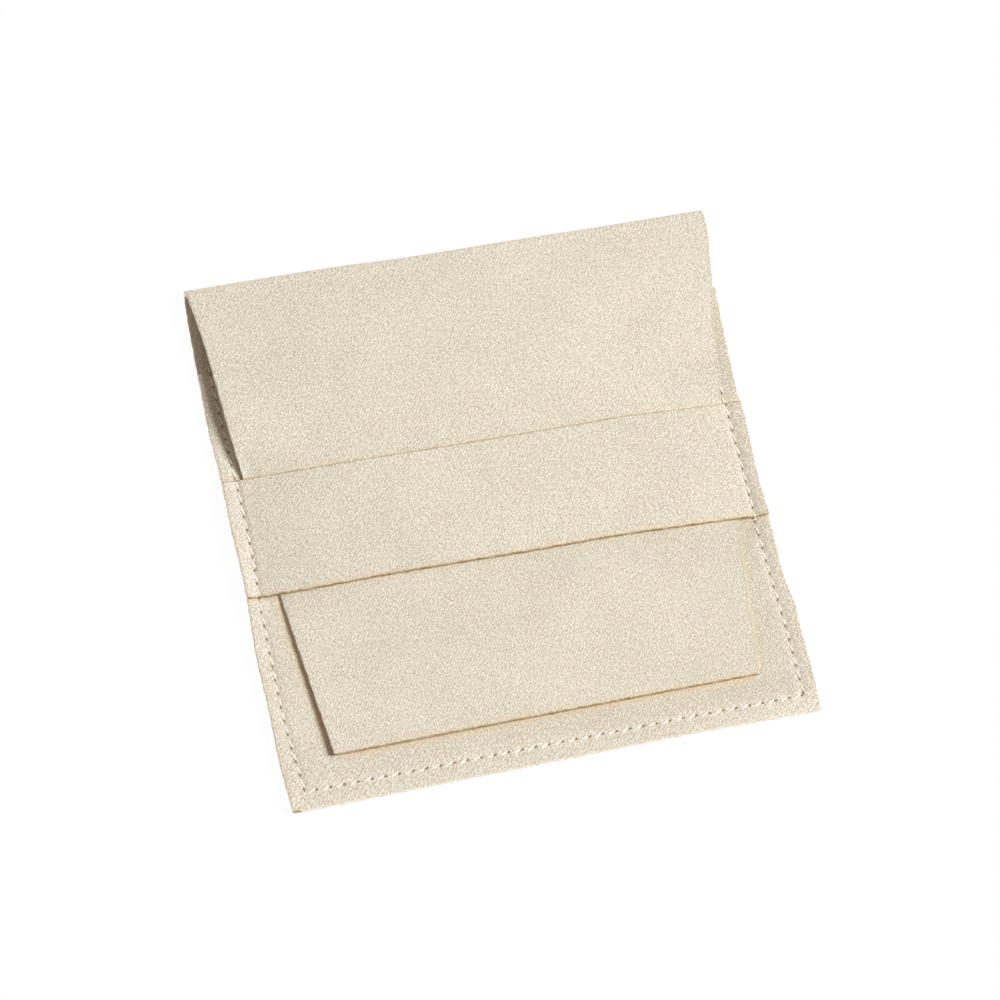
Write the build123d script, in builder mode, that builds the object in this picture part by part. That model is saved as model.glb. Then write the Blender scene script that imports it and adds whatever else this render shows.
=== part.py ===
from build123d import *
import math
import os

# A square envelope pouch of short-napped velvet cloth, lying flat on a table with its flap tucked in.
# Millimetres. X runs along the crease, Y from the bottom edge up to the crease, Z up from the table.
# The origin is on the table, under the middle of the pouch.

os.makedirs("parts", exist_ok=True)

# Cloth and the air that it traps
cloth = 0.8  # thickness of the cloth
layer_gap = 0.25  # air between two layers that lie loosely on each other
pocket_rise = 0.6  # how far the empty pocket stands open in its middle

# Outline of the pouch
pouch_width = 80.0  # side edge to side edge, and the width of the crease
pouch_height = 80.0  # bottom edge to the outermost line of the fold
mouth_drop = 13.2  # outermost line of the fold to the mouth of the pocket

# Flap
flap_end_inset = 7.8  # how far each side edge of the flap has run in at its free end
flap_end_rise = 6.8  # bottom edge of the pouch to the flap's free end

# Band that holds the flap down
band_width = 17.8  # lower edge to upper edge
band_rise = 30.6  # bottom edge of the pouch to the band's lower edge
band_fit = 0.3  # air between the flap's side edge and the band
band_bend = 0.6  # outer radius where the band turns over the flap's side edge

# Pressed-down strips along the seam, where the crown of the pocket starts
side_flat = 3.0  # width of the strip along each side edge
bottom_flat = 4.8  # width of the strip along the bottom edge
crown_run = 7.0  # length over which the front panel rises from the bottom strip

# Lockstitch seam: down the left side, along the bottom and up the right side
side_inset = 1.9  # side edge to the seam
bottom_inset = 2.25  # bottom edge to the seam
mouth_inset = 0.5  # mouth of the pocket to the first and the last stitch
stitch_pitch = 2.08  # from one stitch to the next
stitch_span = 1.3  # from the leg at one end of a stitch to the leg at the other
stitch_slant = 14.0  # degrees that a stitch turns away from the seam line
thread_radius = 0.14
thread_bend = 0.2  # radius where a stitch turns down into the cloth
channel_width = 0.9  # groove that the lower thread presses into the underside
channel_depth = 0.35

# Heights of the layers in the middle of the pouch
margin_top = 2 * cloth
crown_top = margin_top + pocket_rise
flap_under = crown_top + layer_gap
flap_top = flap_under + cloth
band_under = flap_top + layer_gap

# The fold is a half ring as high as the stack from the table to the top of the flap
fold_outer = flap_top / 2
fold_inner = fold_outer - cloth

# Places along Y
bottom_y = -pouch_height / 2
mouth_y = pouch_height / 2 - mouth_drop
crease_y = pouch_height / 2 - fold_outer
flap_end_y = bottom_y + flap_end_rise
band_low_y = bottom_y + band_rise
band_high_y = band_low_y + band_width
flap_split_y = band_high_y + layer_gap
foot_y = bottom_y + bottom_flat
ramp_y = foot_y + crown_run
seam_low_y = bottom_y + bottom_inset
seam_high_y = mouth_y - mouth_inset

# Places along X
half_width = pouch_width / 2
pocket_half = half_width - side_flat
seam_x = half_width - side_inset

# The crown of the pocket is an arc over the whole pocket, and the layers on it follow the same arc
crown_radius = (pocket_half**2 + pocket_rise**2) / (2 * pocket_rise)


def crown_drop(x):
    """How far the crown has fallen at a distance x from the middle."""
    return crown_radius - math.sqrt(crown_radius**2 - x**2)


def flap_half(y):
    """Half the width of the flap at the place y."""
    taper_share = (crease_y - y) / (crease_y - flap_end_y)
    return half_width - flap_end_inset * taper_share


def across(y):
    """The plane that cuts the pouch from side to side at the place y, facing the bottom edge."""
    return Plane.XZ.offset(-y)


def crowned_section(y, half, under):
    """Cross-section at y of a crowned layer: its underside is at the height under in the middle."""
    low = under - crown_drop(half)
    with BuildSketch(across(y)) as section:
        with BuildLine():
            ThreePointArc((-half, low), (0, under), (half, low))
            Line((half, low), (half, low + cloth))
            ThreePointArc((half, low + cloth), (0, under + cloth), (-half, low + cloth))
            Line((-half, low + cloth), (-half, low))
        make_face()
    return section.sketch


def flat_section(y, half, under):
    """Cross-section at y of a flat layer whose underside is at the height under."""
    with BuildSketch(across(y)) as section:
        with BuildLine():
            Polyline(
                (-half, under),
                (half, under),
                (half, under + cloth),
                (-half, under + cloth),
                close=True,
            )
        make_face()
    return section.sketch


# Back panel, with the groove that the lower thread lies in
with BuildPart() as back_panel:
    with BuildSketch():
        with Locations((0, (bottom_y + crease_y) / 2)):
            Rectangle(pouch_width, crease_y - bottom_y)
    extrude(amount=cloth)
    with BuildSketch():
        with Locations((-seam_x, (seam_low_y + mouth_y) / 2), (seam_x, (seam_low_y + mouth_y) / 2)):
            Rectangle(channel_width, mouth_y - seam_low_y)
        with Locations((0, seam_low_y)):
            Rectangle(2 * seam_x + channel_width, channel_width)
    extrude(amount=channel_depth, mode=Mode.SUBTRACT)
back_panel.part.label = "back_panel"
export_step(back_panel.part, "parts/back_panel.step")

# Fold: the same cloth bent back over itself along the crease
with BuildPart() as crease_fold:
    with BuildSketch(Plane.YZ):
        with BuildLine():
            outer_bend = CenterArc((crease_y, fold_outer), fold_outer, -90, 180)
            inner_bend = CenterArc((crease_y, fold_outer), fold_inner, -90, 180)
            Line(outer_bend @ 0, inner_bend @ 0)
            Line(outer_bend @ 1, inner_bend @ 1)
        make_face()
    extrude(amount=half_width, both=True)
crease_fold.part.label = "crease_fold"
export_step(crease_fold.part, "parts/crease_fold.step")

# Upper part of the flap: straight at the crease, and on the crown of the pocket at the band
with BuildPart() as flap_upper:
    crease_end = flat_section(crease_y, half_width, flap_under)
    band_end = crowned_section(flap_split_y, flap_half(flap_split_y), flap_under)
    loft([crease_end, band_end], ruled=True)
flap_upper.part.label = "flap_upper"
export_step(flap_upper.part, "parts/flap_upper.step")

# Tongue of the flap: the part under the band and below it
with BuildPart() as flap_tongue:
    free_end = crowned_section(flap_end_y, flap_half(flap_end_y), flap_under)
    loft([band_end, free_end], ruled=True)
flap_tongue.part.label = "flap_tongue"
export_step(flap_tongue.part, "parts/flap_tongue.step")

# Front panel: pressed flat along the seam and crowned over the pocket
with BuildPart() as front_panel:
    with BuildSketch(Plane.XY.offset(cloth)):
        with Locations((0, (bottom_y + mouth_y) / 2)):
            Rectangle(pouch_width, mouth_y - bottom_y)
        with Locations((0, (foot_y + mouth_y) / 2)):
            Rectangle(2 * pocket_half, mouth_y - foot_y, mode=Mode.SUBTRACT)
    extrude(amount=cloth)
    crown_foot = flat_section(foot_y, pocket_half, cloth)
    crown_start = crowned_section(ramp_y, pocket_half, cloth + pocket_rise)
    loft([crown_foot, crown_start], ruled=True)
    mouth_end = crowned_section(mouth_y, pocket_half, cloth + pocket_rise)
    extrude(mouth_end, amount=mouth_y - ramp_y)
front_panel.part.label = "front_panel"
export_step(front_panel.part, "parts/front_panel.step")

# Holding band: its ends lie on the side strips, and between them it bridges the flap
wall_in = flap_half(band_high_y) + band_fit
wall_out = wall_in + cloth
wall_in_top = band_under - crown_drop(wall_in)
wall_out_top = band_under + cloth - crown_drop(wall_out)
with BuildPart() as holding_band:
    with BuildSketch(across(band_high_y)) as band_outline:
        with BuildLine():
            ThreePointArc((-wall_in, wall_in_top), (0, band_under), (wall_in, wall_in_top))
            Polyline(
                (wall_in, wall_in_top),
                (wall_in, margin_top),
                (half_width, margin_top),
                (half_width, margin_top + cloth),
                (wall_out, margin_top + cloth),
                (wall_out, wall_out_top),
            )
            ThreePointArc((wall_out, wall_out_top), (0, band_under + cloth), (-wall_out, wall_out_top))
            Polyline(
                (-wall_out, wall_out_top),
                (-wall_out, margin_top + cloth),
                (-half_width, margin_top + cloth),
                (-half_width, margin_top),
                (-wall_in, margin_top),
                (-wall_in, wall_in_top),
            )
        make_face()
        shoulders = band_outline.vertices().filter_by(
            lambda corner: abs(abs(corner.X) - wall_out) < layer_gap
        )
        fillet(shoulders.group_by(Axis.Y)[-1], band_bend)
    extrude(amount=band_width)
holding_band.part.label = "holding_band"
export_step(holding_band.part, "parts/holding_band.step")


def stitch(leg):
    """One stitch along X: a bar of thread at height zero whose ends turn down by the length leg."""
    with BuildPart() as one_stitch:
        with BuildLine(Plane.XZ) as route:
            FilletPolyline(
                (-stitch_span / 2, -leg),
                (-stitch_span / 2, 0),
                (stitch_span / 2, 0),
                (stitch_span / 2, -leg),
                radius=thread_bend,
            )
        with BuildSketch(Plane(origin=route.line @ 0, z_dir=route.line % 0)):
            Circle(thread_radius)
        sweep()
    return one_stitch.part


def run_places(start, end):
    """Middle of each stitch on the straight run from start to end, with the run's direction in degrees."""
    length = math.dist(start, end)
    count = round(length / stitch_pitch)
    heading = math.degrees(math.atan2(end[1] - start[1], end[0] - start[0]))
    places = []
    for index in range(count):
        along_share = (index + 1 / 2) / count
        x = start[0] + (end[0] - start[0]) * along_share
        y = start[1] + (end[1] - start[1]) * along_share
        places.append((x, y, heading))
    return places


seam_places = (
    run_places((-seam_x, seam_high_y), (-seam_x, seam_low_y))
    + run_places((-seam_x, seam_low_y), (seam_x, seam_low_y))
    + run_places((seam_x, seam_low_y), (seam_x, seam_high_y))
)
band_middle_y = band_low_y + band_width / 2


def on_band(y):
    """Whether a stitch at the place y lies on the band or reaches over its edge."""
    return abs(y - band_middle_y) < (band_width + stitch_span) / 2 + thread_radius


def upper_spot(x, y, heading):
    """Where the bar of an upper stitch lies: on the band, or on the front panel beside it."""
    level = margin_top + cloth if on_band(y) else margin_top
    return Location((x, y, level + thread_radius), (0, 0, heading + stitch_slant))


def lower_spot(x, y, heading):
    """Where the bar of a lower stitch lies: in the groove of the back panel, upside down."""
    return Location((x, y, channel_depth / 2), (180, 0, heading + stitch_slant))


# Upper thread: its stitches hold the band and the front panel, and meet the lower thread between the panels
with BuildPart() as needle_thread:
    with Locations([upper_spot(*place) for place in seam_places if on_band(place[1])]):
        add(stitch(2 * cloth + thread_radius))
    with Locations([upper_spot(*place) for place in seam_places if not on_band(place[1])]):
        add(stitch(cloth + thread_radius))
needle_thread.part.label = "needle_thread"
export_step(needle_thread.part, "parts/needle_thread.step")

# Lower thread: the same stitches on the underside, sunk in the groove
with BuildPart() as bobbin_thread:
    with Locations([lower_spot(*place) for place in seam_places]):
        add(stitch(cloth - channel_depth / 2))
bobbin_thread.part.label = "bobbin_thread"
export_step(bobbin_thread.part, "parts/bobbin_thread.step")

flat_sheet_length = crease_y - bottom_y + math.pi * (fold_outer + fold_inner) / 2 + crease_y - flap_end_y
print(f"back and flap sheet, unfolded: {pouch_width:.1f} x {flat_sheet_length:.1f} mm")
print(f"stitches: {len(seam_places)}, fold line at y {crease_y:.3f}, fold centre at z {fold_outer:.3f}")
hinge_y = crease_y + (fold_outer + fold_inner) / 2
print(f"hinge line at y {hinge_y:.3f}, band stands {band_under + cloth:.2f} high")
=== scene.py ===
# %% [markdown]
# # A velvet jewelry pouch
# This lesson dresses the plain solids of a small envelope pouch as real cloth. The pouch is three pieces
# of beige microfibre velvet and one lockstitch seam: a long back sheet that folds over and becomes the
# flap, a front sheet, and a band across the front that holds the flap down. Every piece of cloth is
# modelled as the flat cut that it really is, and then laid where the real one lies.

# %% Load the solids
import math

import bpy
import numpy as np
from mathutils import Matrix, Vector


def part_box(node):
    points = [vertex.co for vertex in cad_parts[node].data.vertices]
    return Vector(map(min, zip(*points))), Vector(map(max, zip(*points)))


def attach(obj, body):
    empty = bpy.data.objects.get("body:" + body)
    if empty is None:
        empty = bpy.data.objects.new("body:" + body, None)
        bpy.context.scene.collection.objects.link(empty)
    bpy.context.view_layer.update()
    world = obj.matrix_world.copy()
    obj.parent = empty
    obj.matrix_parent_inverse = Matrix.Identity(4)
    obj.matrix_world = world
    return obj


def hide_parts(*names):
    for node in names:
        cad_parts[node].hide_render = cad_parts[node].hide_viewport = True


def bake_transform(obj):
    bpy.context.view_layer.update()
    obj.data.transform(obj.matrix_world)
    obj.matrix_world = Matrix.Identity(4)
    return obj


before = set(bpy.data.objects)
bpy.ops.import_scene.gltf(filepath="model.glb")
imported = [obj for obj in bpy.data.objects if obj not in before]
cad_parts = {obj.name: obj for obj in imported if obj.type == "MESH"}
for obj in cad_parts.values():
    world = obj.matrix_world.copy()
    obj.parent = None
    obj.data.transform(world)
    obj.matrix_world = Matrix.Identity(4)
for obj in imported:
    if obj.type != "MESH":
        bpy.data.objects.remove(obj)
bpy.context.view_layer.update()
print("solids:", sorted(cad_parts))

# %% [markdown]
# All shapes are worked out in millimetres, because cloth and thread are measured in them, and become
# metres only when the points are written. The sizes of the pouch are read from the solids, and the
# curves that follow are drawn for them.

# %% Sizes of the pouch
mm = 0.001


def corners(node):
    """Lowest and highest corner of a solid, in millimetres."""
    low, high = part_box(node)
    return low / mm, high / mm


back_low, back_high = corners("back_panel")
front_high = corners("front_panel")[1]
band_low, band_high = corners("holding_band")
tongue_low = corners("flap_tongue")[0]
fold_high = corners("crease_fold")[1]

cloth = back_high.z
half_width = back_high.x
bottom_y = back_low.y
crease_y = back_high.y
mouth_y = front_high.y
flap_end_y = tongue_low.y
flap_top = fold_high.z
flap_middle = flap_top - cloth / 2
fold_radius = fold_high.z / 2 - cloth / 2
fold_centre_z = fold_high.z / 2
margin_top = 2 * cloth
crown = front_high.z - margin_top
print(f"cloth {cloth:.2f} mm, pouch {2 * half_width:.1f} mm wide, flap's top at {flap_top:.2f} mm")

# %% [markdown]
# The seam runs down the left side, along the bottom and up the right side. A lockstitch has an even
# pitch, so one number tells how far along the seam a place is: its count of stitches.

# %% Sizes of the seam
seam_inset = 1.9
seam_rise = 2.25
mouth_inset = 0.5
pitch = 2.08
seam_x = half_width - seam_inset
seam_low_y = bottom_y + seam_rise
seam_high_y = mouth_y - mouth_inset
side_count = round((seam_high_y - seam_low_y) / pitch)
bottom_count = round(2 * seam_x / pitch)
side_pitch = (seam_high_y - seam_low_y) / side_count
bottom_pitch = 2 * seam_x / bottom_count
dash_phase = 0.5
hole_lag = 0.35
print(f"seam: {side_count} + {bottom_count} + {side_count} stitches")

# %% [markdown]
# Soft things have soft lines. Two helpers shape nearly everything here: one draws a smooth curve
# through a few given points, as a flexible ruler does, and one fades from nothing to full.


# %% Curves and fades
def ruler(points, at):
    """The smooth curve through given points (place, value), read at each place in at."""
    places, values = np.array(points, float).T
    slopes = np.gradient(values, places)
    at = np.clip(at, places[0], places[-1])
    left = np.clip(np.searchsorted(places, at, side="right") - 1, 0, len(places) - 2)
    width = places[left + 1] - places[left]
    share = (at - places[left]) / width
    start_weight = (1 + 2 * share) * (1 - share) ** 2
    end_weight = share**2 * (3 - 2 * share)
    bend = share * (1 - share) * width
    slope_part = bend * ((1 - share) * slopes[left] - share * slopes[left + 1])
    return start_weight * values[left] + end_weight * values[left + 1] + slope_part


def fade(value, nothing, full):
    """Rises smoothly from 0 where value is nothing to 1 where it is full."""
    share = np.clip((value - nothing) / (full - nothing), 0, 1)
    return share * share * (3 - 2 * share)


print("half way of a fade:", fade(0.5, 0, 1))

# %% [markdown]
# No hand-cut pouch is a perfect square. Its side edges bow to the left by about a millimetre, the fold
# drops a little towards the right, the seam wanders, and the band sits slightly askew. These curves say
# by how much, in millimetres, at a few places along the pouch. The cloth is laid out straight first and
# settled by them afterwards, so the layers keep together. The flap tapers, so it follows two edges of
# its own. Scissors and laser leave no ruled line either, so every cut edge wavers by a few hundredths
# of a millimetre: three sine waves added up, entered at a place that is set for each edge.

# %% How the pouch has settled
left_edge_sway = [
    (-40, 0.0), (-35, -0.45), (-25, -0.55), (-16, -0.75), (-9, -0.45), (-2, -0.48), (2.4, -0.66),
    (7, -0.66), (12, -0.72), (18, -1.02), (25, -0.96), (30, -0.94), (35, -0.8), (40, -0.6),
]
right_edge_sway = [
    (-40, 0.15), (-33, 0.1), (-28, -0.05), (-23.6, -0.1), (-21, -0.5), (-18.8, -0.74),
    (-13.9, -0.72), (-9, -0.85), (-4, -1.1), (1, -0.98), (5, -0.88), (10, -0.96), (15, -0.82),
    (20, -0.7), (25, -0.48), (30, -0.5), (35, -0.1), (40, 0.2),
]
left_seam_sway = [(-37.7, 0.3), (-30, -0.4), (-13, -0.65), (1, -0.42), (11, -0.6), (18, -0.8), (29, -1.0)]
right_seam_sway = [(-37.7, -0.1), (-27, -0.4), (-14, -1.0), (-3, -1.3), (8, -1.45), (18, -1.3), (29, -1.1)]
bottom_sway = [
    (-40, -0.62), (-34, -0.62), (-27, -0.6), (-15, -0.53), (0, -0.5), (14, -0.4), (22, -0.38),
    (29, -0.46), (36, -0.52), (40, -0.52),
]
fold_sway = [
    (-40, -0.08), (-20, -0.1), (-14, -0.2), (-8, -0.42), (0, -0.52), (12, -0.55), (26, -0.7), (40, -0.7),
]
left_flap_edge = [
    (-33.8, -32.6), (-8.6, -35.65), (9.4, -37.45), (14, -38.04), (18.5, -38.46),
    (24, -38.83), (31.5, -39.42), (38.4, -40.25),
]
right_flap_edge = [
    (-33.8, 31.8), (-9.8, 34.2), (7.8, 36.0), (12.4, 36.7), (16.6, 36.97), (20, 37.3),
    (23.3, 37.93), (27.4, 38.8), (31.5, 39.4), (35, 39.95), (38.4, 40.15),
]
flap_end_sway = -0.42
band_top_edge = [
    (-40, 9.6), (-36, 9.42), (-24, 9.11), (-6, 8.65), (8, 8.5), (16, 8.52), (23, 8.58), (30, 8.3), (40, 8.15),
]
band_bottom_edge = [
    (-40, -8.4), (-32, -8.75), (-20, -8.88), (-8, -9.13), (3, -9.35), (18, -9.4), (28, -9.7), (40, -10.0),
]
bottom_sway_reach = 1
fold_sway_reach = 9
edge_waves = [(0.03, 2.1, 0.0), (0.025, 4.7, 1.3), (0.02, 7.9, 0.4)]
waves_start = {
    "left side": 0, "right side": 70, "bottom": 20, "flap left": 10, "flap right": 30,
    "flap end": 40, "band low": 0, "band high": 50,
}


def waves(table, along, level=0):
    """Sine waves (height, radians per millimetre, start) on top of a level, at places along an edge."""
    return sum((height * np.sin(rate * along + start) for height, rate, start in table), level)


def waver(edge, along):
    """The unevenness of a cut edge, in millimetres, at places along it."""
    return waves(edge_waves, along + waves_start[edge])


def settle(x, y):
    """Moves places on the straight pouch to where the cloth has settled."""
    left = ruler(left_edge_sway, y) + waver("left side", y)
    left_seam = ruler(left_seam_sway, y)
    right_seam = ruler(right_seam_sway, y)
    right = ruler(right_edge_sway, y) + waver("right side", y)
    outside_left = fade(x, -seam_x, -half_width)
    outside_right = fade(x, seam_x, half_width)
    share = np.clip((x + seam_x) / (2 * seam_x), 0, 1)
    inside = left_seam + (right_seam - left_seam) * share
    settled_x = x + inside + (left - left_seam) * outside_left + (right - right_seam) * outside_right
    bottom = ruler(bottom_sway, x) + waver("bottom", x)
    at_bottom = bottom * fade(y, seam_low_y + bottom_sway_reach, bottom_y)
    at_fold = ruler(fold_sway, x) * fade(y, crease_y - fold_sway_reach, crease_y)
    return settled_x, y + at_bottom + at_fold


def flap_side(x, y):
    """Where a place on the straight flap lies once the flap's own tapering edges are followed."""
    left = ruler(left_flap_edge, y) + waver("flap left", y)
    right = ruler(right_flap_edge, y) + waver("flap right", y)
    share = (x + half_width) / (2 * half_width)
    return left + (right - left) * share


print("the band's left end stands", round(float(ruler(band_top_edge, -40) - band_high.y), 2), "mm high")

# %% [markdown]
# The seam gets its own two coordinates: how far along it a place is, counted in stitches, and how far
# outside it, in millimetres. They steer where the cloth is pinched, and later where the material draws
# the needle holes.


# %% Coordinates along the seam
def seam_place(x, y):
    """Count of stitches along the seam, and distance outside it, for places on the straight pouch."""
    outward = np.stack([-seam_x - x, seam_low_y - y, x - seam_x])
    nearest = np.argmax(outward, axis=0)
    down_left = (seam_high_y - y) / side_pitch
    along_bottom = side_count + (x + seam_x) / bottom_pitch
    up_right = side_count + bottom_count + (y - seam_low_y) / side_pitch
    count = np.choose(nearest, [down_left, along_bottom, up_right])
    return count, np.max(outward, axis=0)


def hole_offset(count):
    """How many stitches a place is from the nearest needle hole."""
    going_up = count > side_count + bottom_count
    hole_phase = np.where(going_up, dash_phase - hole_lag, dash_phase + hole_lag)
    return (count - hole_phase + 0.5) % 1 - 0.5


seam_reach = 0.45
seam_depth_share = 0.46
stitch_depth_share = 0.18
hole_depth_share = 0.3
hole_reach = 0.3
least_thickness_share = 0.2


def pinch(count, outside):
    """Share of the cloth's thickness that is left where the thread pulls it together."""
    valley = np.exp(-((outside / seam_reach) ** 2))
    between = np.cos(2 * math.pi * (count - dash_phase))
    hole = np.exp(-((hole_offset(count) * pitch / hole_reach) ** 2) - (outside / hole_reach) ** 2)
    share = 1 - valley * (seam_depth_share + stitch_depth_share * between) - hole * hole_depth_share
    return np.clip(share, least_thickness_share, 1)


corner_count, corner_outside = seam_place(np.array([-seam_x]), np.array([seam_low_y]))
print(f"the left corner is at stitch {corner_count[0]:.1f}, {corner_outside[0]:.1f} mm outside the seam")

# %% [markdown]
# A sheet of cloth could be a plane with a Solidify modifier. Here each sheet starts as a grid that is
# extruded once, so it has an upper face, a lower face and a cut edge, and every point of it can be
# placed on purpose. Its rows and columns are so close that each stitch has a few of them for its dip,
# and they stand closest together at the cut edges, where the cloth is rounded.


# %% Helpers for sheets
def deselect():
    """Leaves nothing selected, so that the next operator acts on its own piece alone."""
    bpy.ops.object.select_all(action="DESELECT")


edge_steps = np.array([0.0, 0.04, 0.09, 0.18, 0.45, 0.9, 1.5])
least_step = 0.02
sheet_smooth_angle = math.radians(50)


def spread(start, end, step):
    """Evenly spaced places from start to end, about step apart."""
    return np.linspace(start, end, round(abs(end - start) / step) + 1)


def joined(*runs):
    """One rising list of places from several, without doubles."""
    places = np.sort(np.concatenate(runs))
    keep = np.concatenate([[True], np.diff(places) > least_step])
    return places[keep]


def sheet_from_grid(name, across, along):
    """A sheet as it is cut: its object, and for each of its points the place across, along and its layer."""
    deselect()
    bpy.ops.mesh.primitive_grid_add(
        x_subdivisions=len(across) - 1,
        y_subdivisions=len(along) - 1,
        size=1,
    )
    sheet = bpy.context.object
    sheet.name = name
    sheet.data.name = name
    bpy.ops.object.mode_set(mode="EDIT")
    bpy.ops.mesh.select_all(action="SELECT")
    bpy.ops.mesh.extrude_region_move(TRANSFORM_OT_translate={"value": (0, 0, 1)})
    bpy.ops.mesh.select_all(action="SELECT")
    bpy.ops.mesh.normals_make_consistent(inside=False)
    bpy.ops.object.mode_set(mode="OBJECT")
    points = np.zeros(len(sheet.data.vertices) * 3)
    sheet.data.vertices.foreach_get("co", points)
    points = points.reshape(-1, 3)
    column = np.rint((points[:, 0] + 0.5) * (len(across) - 1)).astype(int)
    row = np.rint((points[:, 1] + 0.5) * (len(along) - 1)).astype(int)
    layer = np.where(points[:, 2] > 0.5, 1.0, -1.0)
    return sheet, across[column], along[row], layer


print("rows and columns at a cut edge, in mm from it:", edge_steps)

# %% [markdown]
# A sheet's material has to know things that the finished shape no longer shows, such as how far a place
# is from the seam. They are stored as attributes on the points, which a material can read by name.


# %% Keep numbers on a sheet and finish it
def keep_number(sheet, name, values):
    """Stores one number for each point of the sheet, which its material can read."""
    attribute = sheet.data.attributes.new(name, "FLOAT", "POINT")
    attribute.data.foreach_set("value", np.asarray(values, np.float32))


def keep_place(sheet, x, y, z):
    """Stores where each point lies on the flat cut, so that the nap follows the cloth round its folds."""
    attribute = sheet.data.attributes.new("flat_place", "FLOAT_VECTOR", "POINT")
    attribute.data.foreach_set("vector", np.stack([x, y, z], axis=1).astype(np.float32).ravel())


def finish_sheet(sheet, x, y, z, layer):
    """Writes the points in metres, smooths the faces and sets the cut edge apart as a second material."""
    points = np.stack([x, y, z], axis=1) * mm
    sheet.data.vertices.foreach_set("co", points.ravel())
    sheet.data.update()
    for face in sheet.data.polygons:
        sides = layer[list(face.vertices)]
        face.material_index = int(sides.max() > sides.min())
    bpy.context.view_layer.objects.active = sheet
    sheet.select_set(True)
    bpy.ops.object.shade_smooth_by_angle(angle=sheet_smooth_angle)
    deselect()
    print(f"{sheet.name}: {len(sheet.data.polygons)} faces")


print("faces are smoothed up to", round(math.degrees(sheet_smooth_angle)), "degrees")

# %% [markdown]
# Velvet is thinnest at its cut edge, and the edge has no sharp corners. A Bevel modifier could round it,
# but here each point knows how far it is from the edge, so the thickness itself can shrink. Shade is
# painted on the sheets along the band's two long edges, so the distance from those is worked out as
# well. Heat never catches the cloth evenly, so slow waves vary its strength.

# %% Edges, painted shade along the band, and uneven heat
edge_round = 0.08
edge_reach = 0.14
edge_taper = 0.05
edge_taper_reach = 1.0
# Offsets of the painted shade along the band's two long edges.
low_mark_offset = 0.35
high_mark_offset = 0.55
high_mark_share = 0.45
heat_waves = [(0.18, 0.9, 1.0), (0.14, 2.3, 0.0), (0.12, 5.1, 2.0)]


def edge_thinning(distance):
    """How much thinner the cloth is at a cut edge, which rounds its two corners."""
    inward = 1 - np.clip(distance / edge_reach, 0, 1)
    corner = 2 * edge_round * (1 - np.sqrt(1 - inward**2))
    return corner + edge_taper * fade(distance, edge_taper_reach, 0.0)


def band_edge_shade(x, y):
    """Distance from the painted shade that lies on the cloth along the band's two long edges."""
    from_low_edge = np.abs(y - ruler(band_bottom_edge, x))
    from_high_edge = np.abs(y - ruler(band_top_edge, x))
    return np.minimum(from_low_edge + low_mark_offset, high_mark_share * from_high_edge + high_mark_offset)


def uneven(along):
    """How strongly the heat of the cut has caught the cloth, around 1, at places along an edge."""
    return waves(heat_waves, along, level=1)


print("the cloth is", round(float(edge_thinning(0.0)), 2), "mm thinner right at a cut edge")

# %% [markdown]
# ## The front sheet
# The front of the pocket is a plain rectangle of cloth, sewn to the back on three sides. An empty pocket
# is never quite flat: the cloth stands up a little in the middle, sinks into a valley along the seam,
# and its margin outside the seam flares up again. That valley catches the light on one side of the
# pouch and loses it on the other, so it has to be real shape. A cloth simulation could blow the pocket
# up, but it would shift the edges and the seam, so the heights are worked out point by point. Velvet is
# soft, so beside the seams, where the band clamps the flap down, all its layers are pressed thin.

# %% Shape of the pocket
margin_flare = 0.3
flare_limit_share = 1.2
flare_power = 1.4
flare_share = [(-40, 1.0), (34, 1.0), (37, 0.6), (40, 0.4)]
flare_along = [(-40, 1.0), (4, 1.0), (14, 0.2), (40, 0.1)]
pocket_inset = 6.0
full_crown_rise = 11.8
pocket_half = half_width - pocket_inset
ramp_start_y = seam_low_y
ramp_end_y = bottom_y + full_crown_rise
press_reach = 5.0
press_share = [
    (0, 1.0), (27, 1.0), (30, 0.94), (33, 0.79), (35, 0.67), (36.6, 0.55),
    (37.4, 0.6), (38.2, 0.9), (38.8, 1.0), (40, 1.0),
]


def pocket_crown(x, y):
    """How far the empty pocket stands up."""
    sideways = np.clip(1 - (x / pocket_half) ** 2, 0, 1) ** 2
    return crown * sideways * fade(y, ramp_start_y, ramp_end_y)


def flare(x, y, outside):
    """How far the margin outside the seam bends up."""
    height = margin_flare * ruler(flare_share, x) * ruler(flare_along, y)
    return height * np.clip(outside / seam_inset, 0, flare_limit_share) ** flare_power


def pressed(x, y):
    """Share of its thickness that the cloth keeps beside and under the ends of the band."""
    above = y - ruler(band_top_edge, x)
    below = ruler(band_bottom_edge, x) - y
    near_band = fade(np.maximum(above, below), press_reach, 0.0)
    return 1 - (1 - ruler(press_share, np.abs(x))) * near_band


def front_top(x, y):
    """Height of the front sheet's face, before the seam pinches it."""
    return cloth + cloth * pressed(x, y) + pocket_crown(x, y)


print(f"the pocket stands up {crown:.2f} mm in its middle")

# %% Front sheet
front_steps = 5
mouth_steps = 3
stitch_rows = spread(seam_low_y, seam_high_y, side_pitch / front_steps)
stitch_columns = spread(-seam_x, seam_x, bottom_pitch / front_steps)
front_across = joined(-half_width + edge_steps, stitch_columns, half_width - edge_steps)
front_along = joined(bottom_y + edge_steps, stitch_rows, mouth_y - edge_steps[:mouth_steps])
front, flat_x, flat_y, layer = sheet_from_grid("front_sheet", front_across, front_along)
count, outside = seam_place(flat_x, flat_y)
side_distance = half_width - np.abs(flat_x)
end_distance = np.minimum(flat_y - bottom_y, mouth_y - flat_y)
share = pressed(flat_x, flat_y)
thickness = cloth * np.minimum(pinch(count, outside), share)
thickness = thickness - edge_thinning(np.minimum(side_distance, end_distance))
front_middle = front_top(flat_x, flat_y) - cloth * share / 2 + flare(flat_x, flat_y, outside)
front_x, front_y = settle(flat_x, flat_y)
keep_place(front, flat_x, flat_y, layer * thickness / 2)
keep_number(front, "stitch_count", count)
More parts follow.
